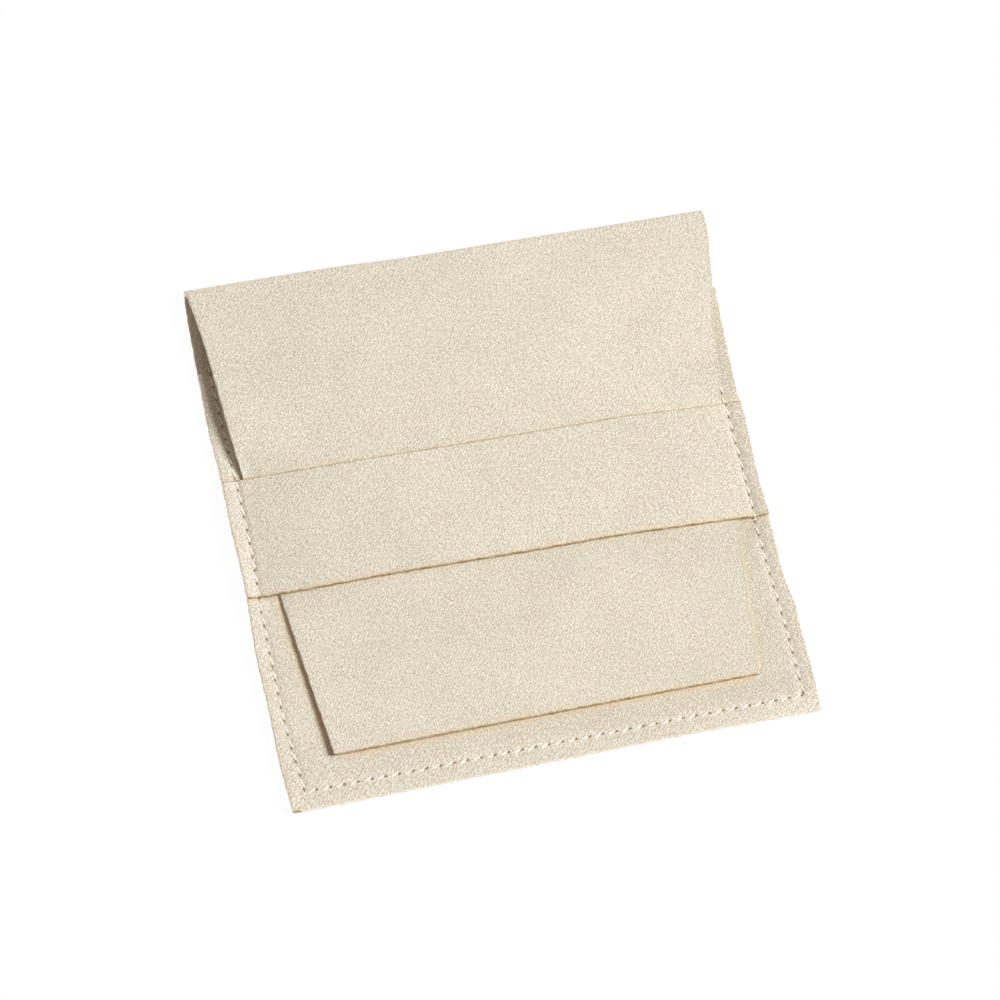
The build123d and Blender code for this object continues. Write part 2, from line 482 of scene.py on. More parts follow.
keep_number(front, "outside_seam", outside)
finish_sheet(front, front_x, front_y, front_middle + layer * thickness / 2, layer)

# %% [markdown]
# On the front, shade is painted as a faint tan outline along the flap's edges and the band's edges,
# browner under the flap's free edge, and the heat has burnt a small spot at the low left corner. A
# picture could be painted for that. Here each point of the sheet keeps how far it lies from the nearest
# mark, and the material turns that into colour. Where a mark fades out, its distance grows until nothing
# shows. Light and shade are also painted into the nap's tone: darker to the right and in the right margin
# beside the flap, and paler in the left margin and on the low rim. Where a value is a pair, a fade is
# nothing at the first place and full at the second.

# %% Painted shade and marks on the front sheet
no_mark = 5
pale_edge_offset = 1.6
side_mark_share = 0.5
right_mark_offset = 0.85
left_mark_offset = 0.3
end_mark_offset = 0.1
side_marks_top = (-4, 6)
side_marks_low_end = (0.5, -1.5)
end_mark_ends = (31, 34)
corner_spot_inset = 0.5
corner_spot_width = 0.6
corner_spot_height = 0.3
corner_spot_rim = 0.3
corner_spot_power = 2.5
# Brown strength on the front: scorch for the corner spot, painted shade along the flap's outline.
front_scorch_and_shade = 0.4
left_rim_scorch_and_shade = 0.6
left_rim_across = (-36, -39)
front_halo = 0.8
free_edge_y = flap_end_y + flap_end_sway


def flap_outline_shade(x, y):
    """Distance from the outline of painted shade along the flap's edges on the front sheet."""
    right_mark = np.abs(x - ruler(right_flap_edge, y)) * side_mark_share + right_mark_offset
    left_mark = np.abs(x - ruler(left_flap_edge, y)) * side_mark_share + left_mark_offset
    side_marks = np.minimum(right_mark, left_mark) + no_mark * fade(y, *side_marks_top)
    side_marks = side_marks + no_mark * fade(y - free_edge_y, *side_marks_low_end)
    end_mark = np.abs(y - free_edge_y) + end_mark_offset + no_mark * fade(np.abs(x), *end_mark_ends)
    return np.minimum(side_marks, end_mark)


def corner_spot(x, y):
    """Distance from the small burnt spot at the front sheet's left corner."""
    across = (x + half_width - corner_spot_inset) / corner_spot_width
    up = (y - bottom_y) / corner_spot_height
    return corner_spot_rim * np.hypot(across, up) ** corner_spot_power


# Painted shade beside the flap's and the band's edges.
painted_shade_marks = np.minimum(flap_outline_shade(front_x, front_y), band_edge_shade(flat_x, flat_y))
from_scorch_and_shade = np.minimum(np.minimum(side_distance, end_distance) + pale_edge_offset, painted_shade_marks)
keep_number(front, "from_scorch_and_shade", np.minimum(from_scorch_and_shade, corner_spot(flat_x, flat_y)))
keep_number(front, "scorch_and_shade", front_scorch_and_shade + left_rim_scorch_and_shade * fade(flat_x, *left_rim_across))
keep_number(front, "halo", np.full_like(flat_x, front_halo))
print(f"distances from the marks: {from_scorch_and_shade.min():.2f} to {from_scorch_and_shade.max():.1f} mm")

# %% Painted light and shade in the front sheet's nap
# Painted shade and light in the front's nap: higher values paint it darker, lower ones paler.
front_shade_across = [
    (-40, 0.115), (-38.7, 0.08), (-38.1, 0.08), (-37.6, -0.03), (-37.1, 0.0), (-35.5, 0.01), (-31, 0.055),
    (-26, 0.085), (-20, 0.06), (-10, 0.075), (0, 0.1), (20, 0.12), (34, 0.14), (37, 0.15),
    (37.7, 0.14), (38.15, 0.17), (38.5, 0.05), (38.9, 0.03), (39.4, 0.09), (40, 0.09),
]
front_shade_along = [
    (-40, -0.2), (-38.5, -0.15), (-36.8, 0.95), (-34.5, 1.1), (-33, 1.0), (-31.5, 0.95), (-26, 0.95),
    (-20, 0.95), (-16.5, 0.95), (-13, 1.05), (-8, 1.1), (9, 1.0), (40, 1.0),
]
# Painted shade in the right margin beside the flap, and painted light in the left margin.
right_strip_shade = 0.14
right_strip_across = (34, 36)
left_strip_painted_light = 0.08
left_strip_across = (-36.5, -38)
left_strip_along = (20, 15)
strips_rise = 4
# Painted light on the low rim, and painted shade in a strip beside the tongue's right edge.
low_rim_painted_light = 0.055
low_rim_across = (32, 12)
low_rim_up = (1.6, 0.6)
tongue_side_shade = 0.11
tongue_side_reach = (2.2, 0.2)
tongue_side_along = (-7, -11)
tongue_side_end = (-0.6, 0.6)


def front_painted_shading(x, y):
    """Painted shade in the front's nap, its margins beside the flap and its low rim; below 0, painted light.
    """
    tone = ruler(front_shade_across, x) * ruler(front_shade_along, y)
    left_strip = left_strip_painted_light * fade(x, *left_strip_across) * fade(y, *left_strip_along)
    beside_flap = right_strip_shade * fade(x, *right_strip_across) - left_strip
    low_rim = low_rim_painted_light * fade(y - bottom_y, *low_rim_up) * fade(x, *low_rim_across)
    return tone + beside_flap * fade(y - band_high.y, 0, strips_rise) - low_rim


def tongue_edge_shade(x, y):
    """How much shade is painted into a narrow strip along the tongue's right edge."""
    near = fade(np.abs(x - ruler(right_flap_edge, y)), *tongue_side_reach) * fade(y, *tongue_side_along)
    return tongue_side_shade * near * fade(y - free_edge_y, *tongue_side_end)


# The front's painted light and shade, kept on its points for the material.
painted_shading = front_painted_shading(flat_x, flat_y) + tongue_edge_shade(front_x, front_y)
keep_number(front, "painted_shading", painted_shading)
print(f"the nap of the front is brushed between {painted_shading.min():.2f} and {painted_shading.max():.2f}")

# %% [markdown]
# ## The back sheet
# The back panel, the fold and the flap are one cut of cloth. Its middle surface follows a path: along
# the table, round the fold as a half circle, and back over the pocket. Each point keeps its distance
# along that path, which is its place on the flat cut. A Curve modifier could bend a flat sheet like
# this, but the flap also tapers, is pressed thin and follows the pocket under it. The fold is springy,
# so the flap arches up before the band presses it down, and its left free corner curls up off the
# pocket.
# The sheet is laid in three lengths that meet point for point, so that when the flap is opened only the
# short length round the fold has to bend.

# %% The path of the back sheet
fold_length = math.pi * fold_radius
back_length = crease_y - bottom_y
flap_length = crease_y - flap_end_y - flap_end_sway
curl_start_y = -10
curl_full_y = flap_end_y - 8
curl_across = (8, -30)
mouth_curl_reach = 3
back_flare_share = 0.95
sheet_length = back_length + fold_length + flap_length
flap_arch = [
    (-33.8, 0.0), (5, 0.0), (9.2, 0.02), (10.7, 0.27), (12.2, 0.6), (14, 0.95), (16, 1.22), (18.5, 1.47),
    (21, 1.52), (24, 1.34), (28, 1.0), (32, 0.62), (36, 0.24), (38.4, 0.0),
]
corner_curl = 0.42
back_curl = [(27.2, 0.0), (28.6, 0.25), (30.5, 0.55), (32.5, 0.4), (34.5, 0.0)]
layer_gap = 0.25
least_gap = 0.03


def path_place(along):
    """Where the middle of the back sheet lies at a distance along its cut: y, z, and the turn of the fold."""
    turn = np.clip((along - back_length) / fold_length, 0, 1) * math.pi
    on_flap = np.clip(along - back_length - fold_length, 0, None)
    on_back = np.clip(along, 0, back_length)
    y = bottom_y + on_back + fold_radius * np.sin(turn) - on_flap
    z = fold_centre_z - fold_radius * np.cos(turn)
    return y, z, turn


def flap_low(x, y):
    """Height of the flap's lower face where it lies on the front sheet."""
    gap = least_gap + (layer_gap - least_gap) * np.clip(1 - (x / pocket_half) ** 2, 0, 1) ** 2
    return front_top(x, y) + gap


def flap_drop(x, y):
    """How far the flap hangs below the top of the fold, as it follows the pocket."""
    lying = flap_low(x, y) + cloth * pressed(x, y) / 2
    return (flap_middle - lying) * fade(y, crease_y, band_high.y)


def flap_lift(x, y):
    """How far the flap stands up off the pocket, in its arch and at its curled corner."""
    curl = fade(y, curl_start_y, curl_full_y) * fade(x, *curl_across)
    return ruler(flap_arch, y) + corner_curl * curl


print(f"back sheet: {2 * half_width:.1f} x {sheet_length:.1f} mm as cut")

# %% Rows and columns of the back sheet's three lengths
back_steps = 4
plain_step = 0.8
near_fold_step = 0.7
fold_step = 0.3
plain_reach = 3.5
fold_start = back_length - plain_reach
fold_end = back_length + fold_length + plain_reach
past_seam_y = seam_high_y + side_pitch
back_rows = joined(
    edge_steps,
    spread(seam_low_y, past_seam_y, side_pitch / back_steps) - bottom_y,
    spread(past_seam_y - bottom_y, fold_start, plain_step),
)
fold_rows = joined(
    spread(fold_start, back_length, near_fold_step),
    spread(back_length, back_length + fold_length, fold_step),
    spread(back_length + fold_length, fold_end, near_fold_step),
)
flap_rows = joined(spread(fold_end, sheet_length - edge_steps[-1], plain_step), sheet_length - edge_steps)
back_columns = spread(-seam_x, seam_x, bottom_pitch / back_steps)
back_across = joined(-half_width + edge_steps, back_columns, half_width - edge_steps)
print("rows of the back, the fold and the flap:", len(back_rows), len(fold_rows), len(flap_rows))

# %% [markdown]
# Shade is painted into the nap: evenly on the back panel, and on the flap darker to the right, along its
# right rim, just below the band and beside the band's edges. A highlight is painted on the crest of the
# fold, where it stands up. The free end was cut with heat, so it is scorched. The flap's sides are less
# so, and the back panel's sides hardly: their distance from the scorch starts higher.

# %% Marks, painted shade and highlight of the back sheet
free_edge_scorch = [(-40, 0.85), (0, 0.8), (18, 0.85), (28, 0.8), (40, 0.8)]
# Painted shade in the flap's nap, darker to the right.
flap_shade_across = [(-40, 0.0), (-15, 0.015), (0, 0.045), (20, 0.075), (40, 0.1)]
flap_shade_along = [(-34, 1.0), (-16, 0.9), (-10, 1.5), (9, 0.6), (22, 0.15), (39, 0.0)]
left_side_offset = 1.2
right_side_offset = 1.0
low_right_side_offset = 0.8
middle_halo = 0.5
outer_halo = 0.35
middle_halo_reach = 28
# Painted shade along the flap's right rim.
rim_shade = 0.2
rim_across = (0.5, 0.15)
# Even painted shade on the back panel, and a painted highlight on the fold's crest.
back_shade = 0.09
fold_crest_highlight = 0.2
crest_turn_share = 0.6
crest_width_share = 0.26


def mark_back_sheet(part, flat_x, flat_along):
    """Keeps where a length of the back sheet is scorched, and the shade and highlight painted into it."""
    path_y, _, turn = path_place(flat_along)
    flap_x = flap_side(flat_x, path_y)
    on_flap = fade(turn, 0.5 * math.pi, math.pi)
    right_offset = np.where(path_y < band_low.y, low_right_side_offset, right_side_offset)
    flap_offset = np.where(flat_x < 0, left_side_offset, right_offset)
    side_distance = half_width - np.abs(flat_x) + np.where(on_flap > 0.5, flap_offset, pale_edge_offset)
    under_band = band_edge_shade(flap_x, path_y) + np.where(on_flap > 0.5, 0, no_mark)
    from_scorch_and_shade = np.minimum(np.minimum(sheet_length - flat_along, side_distance), under_band)
    keep_number(part, "from_scorch_and_shade", from_scorch_and_shade)
    keep_number(part, "scorch_and_shade", ruler(free_edge_scorch, flat_x) * uneven(flat_x))
    keep_number(part, "halo", np.where(np.abs(flap_x) < middle_halo_reach, middle_halo, outer_halo))
    flap_shading = ruler(flap_shade_across, flat_x) * ruler(flap_shade_along, path_y)
    flap_shading = flap_shading + rim_shade * fade(half_width - flat_x, *rim_across)
    # Painted highlight on the crest of the fold.
    crest = np.exp(-(((turn / math.pi - crest_turn_share) / crest_width_share) ** 2)) * (turn < math.pi)
    keep_number(part, "painted_shading", back_shade + (flap_shading - back_shade) * on_flap - fold_crest_highlight * crest)


# %% Back, fold and flap
far_inside = -20.0
end_waver_reach = 1.5


def lay_back_sheet(name, rows):
    """One length of the back sheet, from its first row to its last, laid along the path."""
    part, flat_x, flat_along, layer = sheet_from_grid(name, back_across, rows)
    path_y, path_z, turn = path_place(flat_along)
    on_pouch = flat_along < back_length
    on_flap = fade(turn, 0.5 * math.pi, math.pi)
    count, outside = seam_place(flat_x, flat_along + bottom_y)
    outside = np.where(flat_along < past_seam_y - bottom_y, outside, far_inside)
    side_distance = half_width - np.abs(flat_x)
    end_distance = np.minimum(flat_along, sheet_length - flat_along)
    settled_x, settled_y = settle(flat_x, path_y)
    flap_x = flap_side(flat_x, path_y)
    x = settled_x + (flap_x - settled_x) * on_flap
    thickness = cloth * np.minimum(pinch(count, outside), 1 - (1 - pressed(flap_x, path_y)) * on_flap)
    thickness = thickness - edge_thinning(np.minimum(side_distance, end_distance))
    mouth_curl = ruler(back_curl, path_y) * fade(flat_x, mouth_curl_reach - half_width, -half_width)
    lift = on_flap * (flap_lift(flap_x, path_y) - flap_drop(flap_x, path_y))
    lift = lift + np.where(on_pouch, back_flare_share * flare(flat_x, path_y, outside) + mouth_curl, 0)
    end_waver = waver("flap end", flat_x) * fade(sheet_length - flat_along, end_waver_reach, 0.0)
    y = settled_y + end_waver - layer * thickness / 2 * np.sin(turn)
    z = path_z + lift + layer * thickness / 2 * np.cos(turn)
    keep_place(part, flat_x, -flat_along, layer * thickness / 2)
    keep_number(part, "stitch_count", count)
    keep_number(part, "outside_seam", outside)
    mark_back_sheet(part, flat_x, flat_along)
    finish_sheet(part, x, y, z, layer)
    return part


back = lay_back_sheet("back_sheet", back_rows)
fold = lay_back_sheet("fold_sheet", fold_rows)
flap = lay_back_sheet("flap_sheet", flap_rows)

# %% [markdown]
# ## The band
# The band is a strip across the front. Its ends are sewn down with the side seams, and between them it
# rises gently over the flap. It could be dropped onto the flap as simulated cloth, but the heights
# under it are known, so its long profile is given to lie on them. Its two long edges are cut with
# a laser, so they are scorched brown; the ends are flush with the sides of the pouch.

# %% Band
band_profile = [
    (0, 3.9), (10, 3.78), (20, 3.42), (26, 3.08), (30, 2.8), (33, 2.52),
    (35, 2.33), (37, 2.09), (37.8, 2.0), (40, 2.0),
]
clear_of_seam = 37
band_rim = 1.9
band_row_step = 0.37
band_column_step = 0.4
fine_reach = 2.0
fine_step = 0.2
band_width = band_high.y - band_low.y
middle_rows = spread(band_rim, band_width - band_rim, band_row_step)
band_share = joined(edge_steps, middle_rows, band_width - edge_steps) / band_width
fine_start = seam_x - fine_reach
seam_columns = spread(fine_start, seam_x, fine_step)
band_across = joined(
    -half_width + edge_steps,
    -seam_columns,
    spread(-fine_start, fine_start, band_column_step),
    seam_columns,
    half_width - edge_steps,
)
band, flat_x, share, layer = sheet_from_grid("band_sheet", band_across, band_share)
low_edge = ruler(band_bottom_edge, flat_x) + waver("band low", flat_x)
high_edge = ruler(band_top_edge, flat_x) + waver("band high", flat_x)
band_y = low_edge + (high_edge - low_edge) * share
count, outside = seam_place(flat_x, band_y)
side_distance = half_width - np.abs(flat_x)
long_distance = np.minimum(band_y - low_edge, high_edge - band_y)
thickness = cloth * pinch(count, outside) - edge_thinning(np.minimum(side_distance, long_distance))
band_z = ruler(band_profile, np.abs(flat_x)) + flare(flat_x, band_y, outside)
flap_face = flap_low(flat_x, band_y) + cloth * pressed(flat_x, band_y)
clearance = (band_z - thickness / 2 - flap_face)[np.abs(flat_x) < clear_of_seam]
print(f"the band lies {clearance.min():.2f} to {clearance.max():.2f} mm above the flap")
band_x, band_settled_y = settle(flat_x, band_y)
keep_place(band, flat_x, band_y, layer * thickness / 2)
keep_number(band, "stitch_count", count)
keep_number(band, "outside_seam", outside)
finish_sheet(band, band_x, band_settled_y, band_z + layer * thickness / 2, layer)

# %% [markdown]
# The low edge of the band is scorched all along, with a tan halo above it. The high edge is scorched
# most at the left end and has hardly a halo. The brown lines at both edges also stand for the contact
# shadow there, so they are partly painted shade. Light and shade are painted into the nap, paler at the
# left seam and darker at the right.

# %% Marks and painted shade of the band
# Brown lines at the band's edges: scorch, and painted contact shadow.
low_edge_scorch_and_shade = [(-40, 0.9), (-20, 0.85), (0, 0.85), (40, 0.85)]
high_edge_scorch_and_shade = [(-40, 1.0), (-38.6, 0.95), (-37, 0.7), (-30, 0.6), (0, 0.55), (40, 0.45)]
# Painted light at the left seam and painted shade towards the right.
band_shade = [
    (-40, 0.03), (-38.4, 0.0), (-37.4, -0.07), (-36.2, 0.0), (-35.4, 0.0), (-34.4, 0.0), (-22, -0.005),
    (-10, -0.01), (5, 0.025), (20, 0.065), (29, 0.077), (36, 0.085), (37, 0.086), (37.7, 0.09),
    (38.2, 0.2), (38.8, 0.1), (40, 0.09),
]
low_edge_halo = 0.5
high_edge_halo = 0.12
band_end_offset = 0.9
heat_shift = 30
keep_number(band, "from_scorch_and_shade", np.minimum(long_distance, side_distance + band_end_offset))
strength = np.where(share < 0.5, ruler(low_edge_scorch_and_shade, flat_x), ruler(high_edge_scorch_and_shade, flat_x))
scorch_and_shade = strength * uneven(flat_x + heat_shift * (share > 0.5))
keep_number(band, "scorch_and_shade", scorch_and_shade)
keep_number(band, "painted_shading", ruler(band_shade, flat_x))
keep_number(band, "halo", np.where(share < 0.5, low_edge_halo, high_edge_halo))
print(f"the band's edges are scorched by {scorch_and_shade.min():.2f} to {scorch_and_shade.max():.2f} of the full brown")

# %% [markdown]
# ## The stitches
# The upper thread shows as a row of short near-white dashes. Each dash comes up out of the nap, crosses
# the cloth a little askew of the seam, and dives into its needle hole. One stitch is modelled once
# and copied along the seam, each copy with its own mesh. The thread is two plies twisted together: a
# round tube would look like wire, so its section has two lobes that turn along its length.

# %% One stitch
dash_half = 0.66
thread_radius = 0.125
lobe_depth_share = 0.2
twist_turns = 0.9
stitch_rings = 9
stitch_sides = 8
end_taper_share = 0.35
end_taper_power = 6
stitch_arch = [(-0.66, -0.24), (-0.46, -0.02), (-0.18, 0.08), (0.18, 0.08), (0.42, -0.06), (0.66, -0.42)]


def one_stitch():
    """One dash of thread along X, in millimetres, that dives at its positive end."""
    deselect()
    bpy.ops.mesh.primitive_cylinder_add(
        vertices=stitch_sides,
        radius=1,
        depth=2,
        end_fill_type="NGON",
        rotation=(0, math.pi / 2, 0),
    )
    dash = bpy.context.object
    bpy.ops.object.transform_apply(rotation=True)
    bpy.ops.object.mode_set(mode="EDIT")
    for ring in range(1, stitch_rings - 1):
        bpy.ops.mesh.select_all(action="SELECT")
        place = -1 + 2 * ring / (stitch_rings - 1)
        bpy.ops.mesh.bisect(plane_co=(place, 0, 0), plane_no=(1, 0, 0))
    bpy.ops.object.mode_set(mode="OBJECT")
    points = np.array([vertex.co for vertex in dash.data.vertices])
    run = points[:, 0]
    angle = np.arctan2(points[:, 2], points[:, 1])
    twist = run * twist_turns * math.pi
    taper = 1 - end_taper_share * np.abs(run) ** end_taper_power
    radius = thread_radius * taper * (1 + lobe_depth_share * np.cos(2 * (angle - twist)))
    points[:, 0] = run * dash_half
    points[:, 1] = radius * np.cos(angle)
    points[:, 2] = radius * np.sin(angle) + ruler(stitch_arch, run * dash_half)
    return dash, points


dash, dash_points = one_stitch()
print("one stitch has", len(dash.data.polygons), "faces")

# %% [markdown]
# The places of the stitches come from the same seam coordinates as the pinching, so each dash lies in
# its own dip. A stitch on the band lies higher than one on the front. One stitch more on each side runs
# past the mouth of the pocket, on the back sheet, as sewing machines lock the end of a seam.


# %% Places of the stitches
def run_of_stitches(start, end, number, dive_forward, extra_first=0, extra_last=0):
    """Straight run of stitches: for each, its place on the straight pouch and the way that it dives."""
    start, end = np.array(start), np.array(end)
    step = (end - start) / number
    heading = step / np.linalg.norm(step) * (1 if dive_forward else -1)
    spots = [start + step * (index + dash_phase) for index in range(-extra_first, number + extra_last)]
    return [(spot[0], spot[1], heading[0], heading[1]) for spot in spots]


left_top = (-seam_x, seam_high_y)
left_low = (-seam_x, seam_low_y)
right_low = (seam_x, seam_low_y)
right_top = (seam_x, seam_high_y)
stitch_spots = np.array(
    run_of_stitches(left_top, left_low, side_count, True, extra_first=1)
    + run_of_stitches(left_low, right_low, bottom_count, True)
    + run_of_stitches(right_low, right_top, side_count, False, extra_last=1)
)


edge_drape = 0.22


def seam_surface(x, y):
    """Height of the cloth's top at the seam: on the band, on the front sheet, or on the bare back."""
    count, outside = seam_place(x, y)
    squeeze = cloth * (1 - pinch(count, np.zeros_like(x))) / 2
    above_low_edge = fade(y - ruler(band_bottom_edge, x), -edge_drape, edge_drape / 2)
    below_top_edge = fade(ruler(band_top_edge, x) - y, -edge_drape, edge_drape / 2)
    below_mouth = fade(mouth_y - y, -edge_drape, edge_drape / 2)
    layers = 1 + below_mouth + above_low_edge * below_top_edge
    return layers * cloth - squeeze


highest = float(seam_surface(*stitch_spots[:, :2].T).max())
print(f"{len(stitch_spots)} stitches, the highest on cloth {highest:.2f} mm above the table")

# %% [markdown]
# Sewn by machine, the stitches still differ a little: each copy gets its own slant and depth, by sines
# of its number, so that they come out the same each time. The thread sinks deeper at the sides than
# along the bottom, and stands higher where it runs free above the band. The lower thread is the same
# stitch turned over, pressed flat by the table.

# %% Copies of the stitch
stitch_slant = math.radians(14)
slant_change = math.radians(3)
slant_rate = 2.4
side_sunk = 0.07
bottom_sunk = 0.0
sunk_change = 0.02
sunk_rate = 1.7
free_rise = 0.09
free_reach = 3
lower_thread_z = 0.2
table_gap = 0.02
thread_smooth_angle = math.radians(80)


def stitch_points(number, side):
    """Points of one copied stitch, in metres: side 1 is the upper thread and -1 the lower one."""
    x, y, heading_x, heading_y = stitch_spots[number]
    slant = stitch_slant + slant_change * math.sin(number * slant_rate)
    direction = math.atan2(heading_y, heading_x) + slant
    along = np.array([math.cos(direction), math.sin(direction)])
    sideways = np.array([-along[1], along[0]])
    flat = dash_points[:, :1] * along + dash_points[:, 1:2] * sideways * side
    if side > 0:
        spine_x = x + dash_points[:, 0] * along[0]
        spine_y = y + dash_points[:, 0] * along[1]
        sunk = bottom_sunk if abs(heading_x) > 0.5 else side_sunk
        free = fade(y - ruler(band_top_edge, x), 0, free_reach)
        depth = sunk + sunk_change * math.sin(number * sunk_rate) - free_rise * free
        height = seam_surface(spine_x, spine_y) - depth + dash_points[:, 2]
    else:
        height = np.clip(lower_thread_z - dash_points[:, 2], table_gap, None)
    return np.stack([*settle(x + flat[:, 0], y + flat[:, 1]), height], axis=1) * mm


def sew(name, side):
    """Copies the stitch to every place and joins the copies into one thread."""
    dashes = []
    for number in range(len(stitch_spots)):
        copy = dash.copy()
        copy.data = dash.data.copy()
        bpy.context.collection.objects.link(copy)
        copy.data.vertices.foreach_set("co", stitch_points(number, side).ravel())
        dashes.append(copy)
    deselect()
    for copy in dashes:
        copy.select_set(True)
    bpy.context.view_layer.objects.active = dashes[0]
    bpy.ops.object.join()
    thread = bpy.context.object
    thread.name = name
    thread.data.name = name
    bpy.ops.object.mode_set(mode="EDIT")
    bpy.ops.mesh.select_all(action="SELECT")
    bpy.ops.mesh.normals_make_consistent(inside=False)
    bpy.ops.object.mode_set(mode="OBJECT")
    bpy.ops.object.shade_smooth_by_angle(angle=thread_smooth_angle)
    deselect()
    print(f"{name}: {len(thread.data.polygons)} faces")
    return thread


upper_stitches = sew("upper_stitches", 1)
lower_stitches = sew("lower_stitches", -1)
bpy.data.objects.remove(dash)

# %% [markdown]
# ## Materials as expressions
# A material is a sum worked out at every point of a surface. Node trees for such sums grow long, so one
# small class lets them be written as Python: it wraps one socket, and arithmetic on it adds the Math
# nodes. Every other kind of node comes from its one method, add. The sockets of a Math, Mix or Mix
# Shader node share their names, so those are given by number, and all others by name. Noise runs from 0
# to 1, so a half is taken off where it should push both ways.


# %% Shader expressions
class Field:
    """A number, colour or vector that a material works out at every point."""

    def __init__(self, tree, socket=None):
        self.tree = tree
        self.socket = socket

    def add(self, kind, settings=None, sockets=None, output=0):
        """Adds a node of that kind, with its settings first and then its sockets, and wraps its output."""
        node = self.tree.nodes.new("ShaderNode" + kind)
        for name, value in (settings or {}).items():
            setattr(node, name, value)
        for name, value in (sockets or {}).items():
            if isinstance(value, Field):
                self.tree.links.new(value.socket, node.inputs[name])
            else:
                node.inputs[name].default_value = value
        return Field(self.tree, node.outputs[output])

    def math(self, operation, first, second):
        """One Math node."""
        return self.add("Math", {"operation": operation}, {0: first, 1: second})

    def __add__(self, other):
        return self.math("ADD", self, other)

    __radd__ = __add__

    def __mul__(self, other):
        return self.math("MULTIPLY", self, other)

    __rmul__ = __mul__

    def __sub__(self, other):
        return self.math("SUBTRACT", self, other)

    def __rsub__(self, other):
        return self.math("SUBTRACT", other, self)

    def __pow__(self, other):
        return self.math("POWER", self, other)

    def fade(self, nothing, full):
        """Rises smoothly from 0 where the field is nothing to 1 where it is full."""
        ends = {"Value": self, "From Min": nothing, "From Max": full, "To Min": 0.0, "To Max": 1.0}
        return self.add("MapRange", {"interpolation_type": "SMOOTHSTEP"}, ends)

    def tint(self, plain, full):
        """The colour plain where the field is 0, and full where it is 1."""
        return self.add("Mix", {"data_type": "RGBA"}, {0: self, 6: plain, 7: full}, output=2)

    def wrapped(self):
        """The field brought between -0.5 and 0.5 by whole steps."""
        return self.add("Math", {"operation": "WRAP"}, {0: self, 1: 0.5, 2: -0.5})

    def feed(self, node, name):
        """Links the field to a named socket of a node."""
        self.tree.links.new(self.socket, node.inputs[name])


def new_material(name):
    """An empty material, its tree as a field, and its shader."""
    material = bpy.data.materials.new(name)
    material.use_nodes = True
    shader = material.node_tree.nodes["Principled BSDF"]
    return material, Field(material.node_tree), shader


def stored(tree, name):
    """The number that keep_number has put on the points under that name."""
    return tree.add("Attribute", {"attribute_name": name}, output="Fac")


def emboss(tree, shader, height, distance, strength):
    """Lets a pattern stand out of the surface by a distance."""
    sockets = {"Strength": strength, "Distance": distance, "Height": height}
    tree.add("Bump", sockets=sockets).feed(shader, "Normal")


def plain(red, green, blue):
    """A colour given as it looks on a screen, from 0 to 255, in the linear numbers that shaders use."""
    shares = [value / 255 for value in (red, green, blue)]
    return (*[share / 12.92 if share < 0.04 else ((share + 0.055) / 1.055) ** 2.4 for share in shares], 1.0)


print("plain white is", plain(255, 255, 255))

# %% [markdown]
# ## Velvet
# This cloth is a microfibre velvet with a nap so short that it reads as suede. Close by it shows fine
# ribs, less than half a millimetre apart, that run up to the right, broken up by tiny tufts of fibre.
# From further off it is patchy where fingers have brushed it. Its fibres could be grown as hair, but
# they are too short to be told apart, so patterns stand for them. Three add up to the nap's height:
# wavering bands for the ribs, noise squeezed across them for the tufts, and finer noise for the fibres.
# A slow noise makes them strong in one place and weak in the next. Where the nap parts, the colour is
# darker, the bump lower and the surface a little rougher. The scales of the velvet's patterns are per
# millimetre of the flat cut, which the sheets have kept on their points.

# %% The nap
lean = math.radians(-47)
rib_scale = 0.741
rib_distortion = 4.0
rib_distortion_scale = 2.0
rib_depth = 0.13
tuft_scale = 2.4
tuft_squeeze_share = 0.6
tuft_depth = 0.4
fibre_scale = 9.0
fibre_depth = 0.6
swell_scale = 0.8
least_swell = 0.55
nap_range = (0.1, 0.9)
parting_range = (0.28, 0.18)


def nap_of(tree, place):
    """Height of the nap, from 0 where it parts to 1 on a tuft, and the share of the deepest partings."""
    texture = {"vector_type": "TEXTURE"}
    turned = tree.add("Mapping", texture, {"Vector": place, "Rotation": (0, 0, lean)})
    squeezed = tree.add("Mapping", texture, {"Vector": turned, "Scale": (tuft_squeeze_share, 1.0, 1.0)})
    wavering = {
        "Vector": turned,
        "Scale": rib_scale,
        "Distortion": rib_distortion,
        "Detail": 0.0,
        "Detail Scale": rib_distortion_scale,
    }
    ribs = tree.add("TexWave", {"wave_type": "BANDS", "bands_direction": "X"}, wavering, output="Fac")
    tufts = tree.add("TexNoise", sockets={"Vector": squeezed, "Scale": tuft_scale, "Detail": 0.0})
    fibres = tree.add("TexNoise", sockets={"Vector": place, "Scale": fibre_scale, "Detail": 0.0})
    swell = tree.add("TexNoise", sockets={"Vector": place, "Scale": swell_scale, "Detail": 1.0})
    nap = tufts * tuft_depth + fibres * fibre_depth + (ribs - 0.5) * rib_depth
    height = ((nap - 0.5) * (swell + least_swell) + 0.5).fade(*nap_range)
    return height, fibres.fade(*parting_range)


# A wave texture draws a band every tenth of pi, in its own units.
print(f"a rib every {math.pi / 10 / rib_scale:.2f} mm, leaning by {math.degrees(lean):.0f} degrees")

# %% [markdown]
# The colour is built up as a dyer would see it: pale tufts, rosy in one place and olive in the next, over
# a darker ground, darkest where the fibres part. The painted light and shade that the sheets keep on
# their points shifts the tone.

# %% Colour of the nap
tuft_rosy = plain(248, 236, 219)
tuft_olive = plain(245, 238, 219)
tuft_dark = plain(188, 176, 156)
parting = plain(172, 150, 128)
tinge_range = (0.38, 0.62)
patch_depth = 0.2
parting_strength = 0.45


